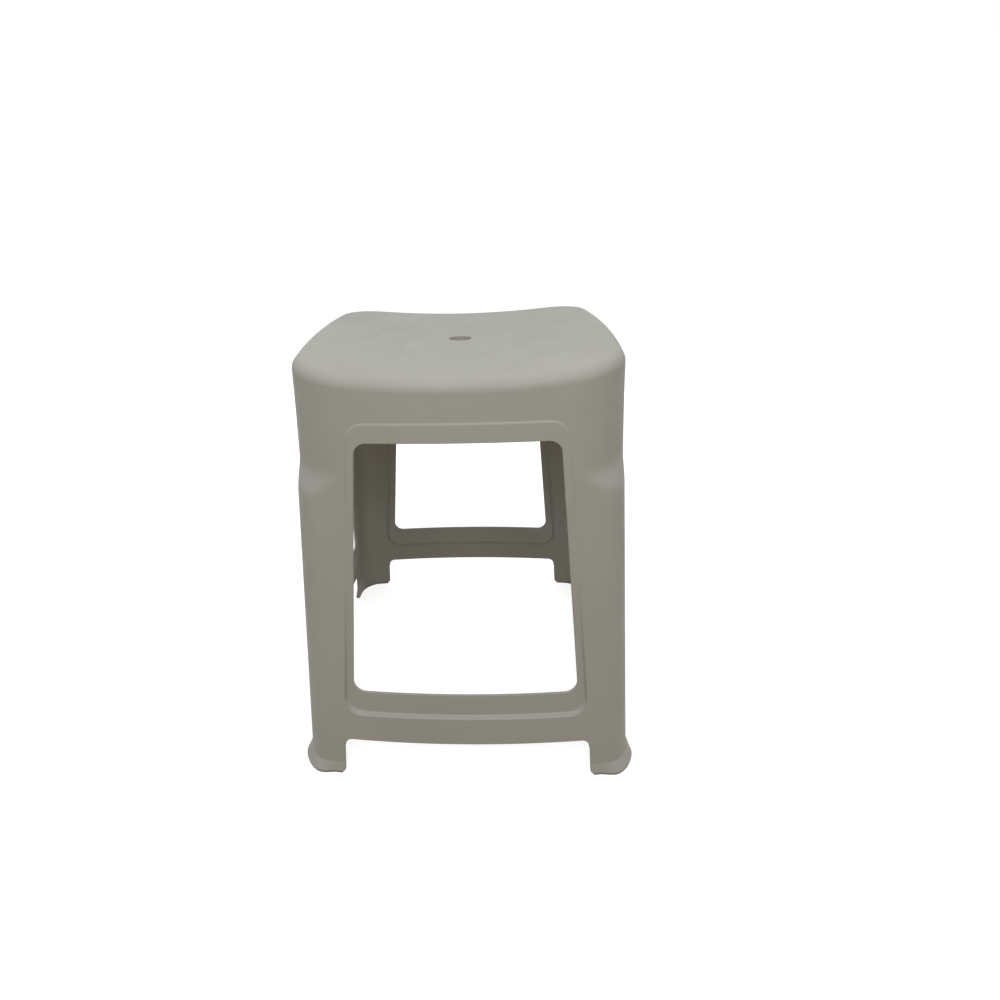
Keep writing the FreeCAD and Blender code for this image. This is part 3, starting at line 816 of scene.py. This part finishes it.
def pad_rows(face):
    """Outer and inner edge of a pad, from one end of its foot round the corner to the other."""
    outer, inner = [], []
    start, end = GAP_FLOOR + PAD_START, float(reach(np.array(0.0)))
    steps = np.linspace(0, 1, 25)
    for turn, way in ((face, 1), (face + 1, -1)):
        share = steps if way > 0 else steps[::-1][1:]
        u = way * (start + (end - start) * share)
        s, n, z, angle = lift(u, np.zeros_like(u), False, turn % 2 == 1)
        outer.append(placed(turn, s - PAD_INSET * np.sin(angle), n - PAD_INSET * np.cos(angle), 0 * s))
        s, n, z, angle = lift(u, np.zeros_like(u), True)
        inner.append(placed(turn, s + PAD_INSET * np.sin(angle), n + PAD_INSET * np.cos(angle), 0 * s))
    return np.concatenate(outer), np.concatenate(inner)


def pad_object(name, face):
    """A soft pad under one foot: a flat strip with rounded edges that follows the sole."""
    outer, inner = pad_rows(face)
    top = np.array([0, 0, SOLE])
    count = len(outer)
    points = np.concatenate([outer, inner, inner + top, outer + top]) * MILLIMETRE
    faces = [(0, count, 2 * count, 3 * count), (4 * count - 1, 3 * count - 1, 2 * count - 1, count - 1)]
    for i in range(count - 1):
        for j in range(4):
            a, b = j * count + i, (j + 1) % 4 * count + i
            faces.append((a, a + 1, b + 1, b))
    mesh = bpy.data.meshes.new(name)
    mesh.from_pydata(points.tolist(), [], faces)
    thing = put(name, mesh)
    bevel = thing.modifiers.new("soft_edges", "BEVEL")
    bevel.width = PAD_EDGE * MILLIMETRE
    bevel.segments = 3
    bevel.angle_limit = math.radians(50)
    return thing


class Nodes:
    """A material's shader tree, built with short calls."""

    def __init__(self, name):
        self.material = bpy.data.materials.new(name)
        self.material.use_nodes = True
        self.tree = self.material.node_tree
        self.shader = self.tree.nodes["Principled BSDF"]

    def node(self, kind, links=(), **values):
        """A new node. Links feed its sockets, and values set its properties or its sockets."""
        made = self.tree.nodes.new(kind)
        for key, value in values.items():
            if hasattr(made, key):
                setattr(made, key, value)
            else:
                made.inputs[key].default_value = value
        for socket, source in dict(links).items():
            self.tree.links.new(source, made.inputs[socket])
        return made

    def noise(self, scale, detail=3.0):
        place = self.node("ShaderNodeTexCoord").outputs["Object"]
        return self.node("ShaderNodeTexNoise", {"Vector": place}, Scale=scale, Detail=detail).outputs["Fac"]

    def ramp(self, source, low, high, start=0.0, end=1.0):
        """source between start and end, stretched to run from low to high."""
        made = self.node("ShaderNodeMapRange", {"Value": source})
        for socket, value in zip(("From Min", "From Max", "To Min", "To Max"), (start, end, low, high)):
            made.inputs[socket].default_value = value
        return made.outputs["Result"]

    def mix(self, share, first, second):
        """A blend of two colours, each a colour or a socket."""
        made = self.node("ShaderNodeMix", {0: share}, data_type="RGBA")
        for socket, colour in ((6, first), (7, second)):
            if isinstance(colour, tuple):
                made.inputs[socket].default_value = (*colour, 1)
            else:
                self.tree.links.new(colour, made.inputs[socket])
        return made.outputs[2]

    def bump(self, height, distance, strength, below=None):
        """Surface directions of a height that counts from those below, if any."""
        made = self.node("ShaderNodeBump", {"Height": height}, Distance=distance, Strength=strength)
        if below is not None:
            self.tree.links.new(below, made.inputs["Normal"])
        return made.outputs["Normal"]

    def feed(self, socket, source):
        self.tree.links.new(source, self.shader.inputs[socket])


def shell_material():
    """Satin moulded polypropylene: warm grey, faint clouding, fine spark-eroded grain."""
    nodes = Nodes("satin_polypropylene")
    cloud = nodes.ramp(nodes.noise(9.0, 4.0), 0.0, 1.0, 0.35, 0.65)
    speck = nodes.ramp(nodes.noise(1400.0, 2.0), 0.0, 1.0, 0.35, 0.65)
    colour = nodes.mix(cloud, (0.405, 0.401, 0.368), (0.423, 0.419, 0.386))
    dark = nodes.mix(cloud, (0.387, 0.383, 0.350), (0.405, 0.401, 0.368))
    nodes.feed("Base Color", nodes.mix(speck, dark, colour))
    nodes.feed("Roughness", nodes.ramp(nodes.noise(35.0, 5.0), 0.5, 0.62, 0.3, 0.7))
    grain = nodes.bump(nodes.noise(1100.0, 4.0), 0.00005, 0.6)
    nodes.feed("Normal", nodes.bump(nodes.noise(14.0, 2.0), 0.0004, 0.1, grain))
    nodes.shader.inputs["IOR"].default_value = 1.49
    nodes.shader.inputs["Specular IOR Level"].default_value = 0.3
    return nodes.material


def rubber_material():
    """Matt thermoplastic rubber, a little darker than the shell, with a dry bloom."""
    nodes = Nodes("pad_rubber")
    bloom = nodes.ramp(nodes.noise(60.0, 5.0), 0.0, 1.0, 0.35, 0.7)
    nodes.feed("Base Color", nodes.mix(bloom, (0.215, 0.205, 0.18), (0.255, 0.245, 0.215)))
    nodes.feed("Roughness", nodes.ramp(nodes.noise(300.0, 3.0), 0.68, 0.84, 0.3, 0.7))
    nodes.feed("Normal", nodes.bump(nodes.noise(1800.0, 3.0), 0.00006, 0.7))
    return nodes.material


shell, rubber = shell_material(), rubber_material()
stool = mesh_object("stool_moulding", moulding())
stool.data.materials.append(shell)
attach(stool, "root")
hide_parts("stool_shell")
for face, corner in enumerate(("front_right", "back_right", "back_left", "front_left")):
    pad = pad_object("sole_pad_" + corner, face)
    pad.data.materials.append(rubber)
    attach(pad, "root")
    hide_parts("foot_pad_" + corner)
for name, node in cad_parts.items():
    node.data.materials.clear()
    node.data.materials.append(rubber if name.startswith("foot_pad") else shell)


def seen_plainly(tree):
    """1 where the eye, a glossy reflection or a clear body looks, 0 for light that spreads."""
    rays = tree.nodes.new("ShaderNodeLightPath")
    total = rays.outputs["Is Camera Ray"]
    for other in ("Is Glossy Ray", "Is Transmission Ray"):
        either = tree.nodes.new("ShaderNodeMath")
        either.operation = "MAXIMUM"
        tree.links.new(total, either.inputs[0])
        tree.links.new(rays.outputs[other], either.inputs[1])
        total = either.outputs[0]
    return total


def blend(tree, share, first, second, target):
    """Feeds a target with first where the share is 0 and with second where it is 1."""
    mix = tree.nodes.new("ShaderNodeMixShader")
    tree.links.new(share, mix.inputs[0])
    tree.links.new(first, mix.inputs[1])
    tree.links.new(second, mix.inputs[2])
    tree.links.new(mix.outputs[0], target)


# The floor is white to the eye, apart from the stool's shadow. What it sends back up is warm and
# dim, as off a wooden floor.
FLOOR_HALF = 20
floor_mesh = bpy.data.meshes.new("floor")
floor_mesh.from_pydata([(x * FLOOR_HALF, y * FLOOR_HALF, 0) for x, y in ((-1, -1), (1, -1), (1, 1), (-1, 1))],
                       [], [(0, 1, 2, 3)])
floor = put("floor", floor_mesh)
paint = Nodes("pale_floor")
tree = paint.tree
paint.shader.inputs["Base Color"].default_value = (0.29, 0.205, 0.105, 1)
paint.shader.inputs["Roughness"].default_value = 0.9
paint.shader.inputs["Specular IOR Level"].default_value = 0.0
eye_side = tree.nodes.new("ShaderNodeBsdfDiffuse")
eye_side.inputs["Color"].default_value = (0.5, 0.5, 0.5, 1)
glow = tree.nodes.new("ShaderNodeEmission")
glow.inputs["Strength"].default_value = 0.82
both = tree.nodes.new("ShaderNodeAddShader")
tree.links.new(eye_side.outputs[0], both.inputs[0])
tree.links.new(glow.outputs[0], both.inputs[1])
blend(tree, seen_plainly(tree), paint.shader.outputs[0], both.outputs[0],
      tree.nodes["Material Output"].inputs["Surface"])
floor_mesh.materials.append(paint.material)

# The room is a dim even light, and plain white to the eye.
world = bpy.data.worlds.new("studio")
bpy.context.scene.world = world
world.use_nodes = True
sky = world.node_tree
room = sky.nodes["Background"]
room.inputs["Color"].default_value = (0.99, 1, 0.96, 1)
room.inputs["Strength"].default_value = 0.42
white = sky.nodes.new("ShaderNodeBackground")
white.inputs["Color"].default_value = (1, 1, 1, 1)
blend(sky, seen_plainly(sky), room.outputs[0], white.outputs[0], sky.nodes["World Output"].inputs["Surface"])


def aim(place, target):
    """The turn that points a lamp from its place at its target."""
    return (Vector(target) - Vector(place)).to_track_quat("-Z", "Y").to_euler()


def soft_light(name, place, target, size, energy, colour):
    light = bpy.data.lights.new(name, "AREA")
    light.shape = "RECTANGLE"
    light.size, light.size_y = size
    light.energy = energy
    light.color = colour
    lamp = put(name, light)
    lamp.location = place
    lamp.rotation_euler = aim(place, target)


soft_light("overhead", (0, 0.1, 2.0), (0, 0, 0.4), (1.6, 1.6), 8, (0.98, 0.985, 1.0))
soft_light("front", (0.02, -1.05, 1.22), (0, -0.15, 0.35), (0.9, 0.5), 7.4, (1.0, 0.99, 0.985))
soft_light("back", (-0.1, 1.35, 0.28), (0, 0.15, 0.25), (1.1, 0.3), 5, (1.0, 0.99, 0.985))

# The camera as fitted to the photo: its place in metres, its turns in degrees, and its focal
# length and shifts as shares of the frame's width.
EYE = Vector((0.02662, -0.70607, 0.59338))
YAW, PITCH, BANK = (math.radians(angle) for angle in (-2.849, -17.094, -1.942))
FOCAL, SHIFT_X, SHIFT_Y = 0.636683, 0.0455, -0.1102
SENSOR = 36
look = Vector((math.sin(YAW) * math.cos(PITCH), math.cos(YAW) * math.cos(PITCH), math.sin(PITCH)))
level = Vector((math.cos(YAW), -math.sin(YAW), 0))
upright = level.cross(look)
right = level * math.cos(BANK) + upright * math.sin(BANK)
up = upright * math.cos(BANK) - level * math.sin(BANK)
lens = bpy.data.cameras.new("camera")
lens.sensor_width = SENSOR
lens.lens = SENSOR * FOCAL
lens.shift_x = SHIFT_X
lens.shift_y = SHIFT_Y
lens.clip_start = 0.01
camera = put("camera", lens)
camera.matrix_world = Matrix.Translation(EYE) @ Matrix((right, up, -look)).transposed().to_4x4()
bpy.context.scene.camera = camera
bpy.context.scene.view_settings.view_transform = "Standard"
